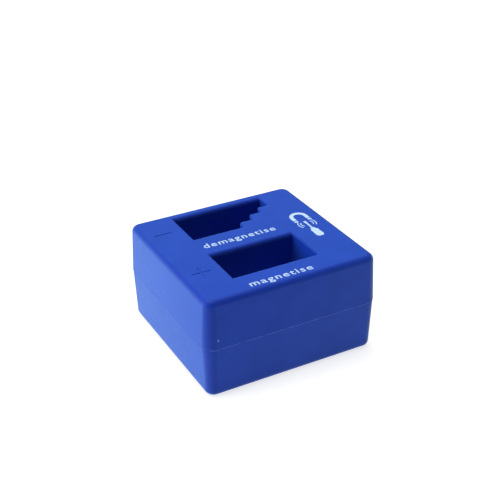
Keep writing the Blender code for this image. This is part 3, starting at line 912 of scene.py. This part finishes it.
def foam_pad(name, node, pack):
    """A cut strip of foam. Its sides bulge as half an ellipse where it is squeezed, and its top dips under
    each plate and magnet that stands on it. The dip is whole under them and fades past their faces as a
    bell curve."""
    low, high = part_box(node)
    outline = rectangle(low.x, high.x, low.y, high.y, PAD_CORNER_RADIUS)
    height = high.z - low.z
    angle = np.linspace(-math.pi / 2, math.pi / 2, PAD_SIDE_ROWS)
    bulge = [(PAD_BULGE * (math.cos(a) - 1.0), low.z + height * (math.sin(a) + 1.0) / 2) for a in angle]
    inset = np.linspace(0.0, (high.y - low.y) / 2 - SMALLEST_RADIUS, PAD_FACE_ROWS)[1:]
    inset = inset[inset < inset[-1] - PAD_BULGE]
    under = [(-PAD_BULGE - step, low.z) for step in inset[::-1]]
    over = [(-PAD_BULGE - step, high.z) for step in inset]
    side, quads, wear = wall(outline, under + bulge + over)
    on_top = side[:, 2] > low.z + PAD_TOP_ZONE * height
    dip = np.zeros(len(side))
    for pressing in pack:
        front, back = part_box(pressing)[0].y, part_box(pressing)[1].y
        away = np.maximum(np.abs(side[:, 1] - (front + back) / 2) - (back - front) / 2, 0.0)
        dip = np.maximum(dip, np.exp(-((away / PAD_EASE) ** 2)))
    side[:, 2] -= np.where(on_top, PAD_DIP * dip, 0.0)
    around = len(outline.ring())
    top_ring, bottom_ring = side[-around:], side[:around]
    top_ring[:, 2] = top_ring[:, 2].mean()
    lid = flat(top_ring[0, 2], True, top_ring[:, :2])
    base = flat(low.z, False, bottom_ring[:, :2])
    made = piece_from(name, [(side, quads, wear), lid, base], FOAM)
    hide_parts(node)


# ---- Moulding mark ----


def gate_mark():
    """A pale pip on the front face, where the mould's gate was trimmed: a low dome, whose height falls
    off as the square of the distance from its middle."""
    share = np.linspace(0.0, 1.0, GATE_RINGS + 1)[1:]
    turn = np.linspace(0.0, 2 * math.pi, GATE_SPOKES, endpoint=False)
    radius, around = np.meshgrid(share, turn, indexing="ij")
    face = cad_low.y - wall_out(GATE_HEIGHT)
    x = GATE_X + GATE_RADIUS * radius * np.cos(around)
    z = GATE_HEIGHT + GATE_RADIUS * radius * np.sin(around)
    y = face + GATE_SUNK - GATE_PROUD * (1.0 - radius**2)
    points = np.stack([x, y, z], axis=-1).reshape(-1, 3)
    index = np.arange(len(points)).reshape(radius.shape)
    after = np.roll(index, -1, axis=1)
    quads = np.stack([index[:-1], index[1:], after[1:], after[:-1]], axis=-1).reshape(-1, 4)
    tip = np.array([[GATE_X, face + GATE_SUNK - GATE_PROUD, GATE_HEIGHT]])
    back = np.array([[GATE_X, face + GATE_ROOT, GATE_HEIGHT]])
    fans = [np.column_stack([np.full(GATE_SPOKES, len(points)), index[0], after[0]])]
    fans.append(np.column_stack([np.full(GATE_SPOKES, len(points) + 1), after[-1], index[-1]]))
    whole = np.concatenate([points, tip, back])
    nothing = np.zeros(len(whole))
    surfaces = [(whole, quads, nothing)] + [(whole, fan, nothing) for fan in fans]
    made = piece_from("gate_mark", surfaces, torn_plastic())


def finish_cad_nodes():
    """The magnets and plates that the case hides keep the CAD's shape."""
    ferrite, steel = sintered_ferrite(), rolled_steel()
    for node in ("centre_magnet", "front_magnet"):
        dress(node, ferrite)
    for node in ("centre_front_pole_plate", "centre_back_pole_plate", "front_pole_plate"):
        dress(node, steel)


def dress(node, look):
    for held in frame["nodes"][node].material_slots:
        held.material = look


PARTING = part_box("upper_shell")[0].z - GAP / 2
DECK = cad_high.z - INK_THICKNESS
INK_LOW, INK_HIGH = DECK - INK_THICKNESS / 2, cad_high.z
CENTRE_POCKET, FRONT_POCKET = pocket_box(*CENTRE_PACK), pocket_box(*FRONT_PACK)
POCKETS = [rectangle(*box, POCKET_CORNER_RADIUS) for box in (CENTRE_POCKET, FRONT_POCKET)]
CASE = rectangle(cad_low.x, cad_high.x, cad_low.y, cad_high.y, CASE_CORNER_RADIUS)
OPENINGS = [magnetising_outline(), demagnetising_outline()]
SIGNS = sign_outlines()
PLASTIC = moulded_plastic("moulded_blue_plastic", *OUTSIDE_DUST_AND_GLOSS)
SHELTERED_PLASTIC = moulded_plastic("sheltered_blue_plastic", *SHELTERED_DUST_AND_GLOSS)
INK, FOAM = white_ink(), closed_cell_foam()

camera()
studio()
upper_case()
lower_case()
foam_pad("centre_pad", "centre_foam_pad", CENTRE_PACK)
foam_pad("front_pad", "front_foam_pad", FRONT_PACK)
legend("demagnetise_legend", "demagnetise", *REAR_LEGEND)
legend("magnetise_legend", "magnetise", *FRONT_LEGEND)
pictogram()
gate_mark()
finish_cad_nodes()
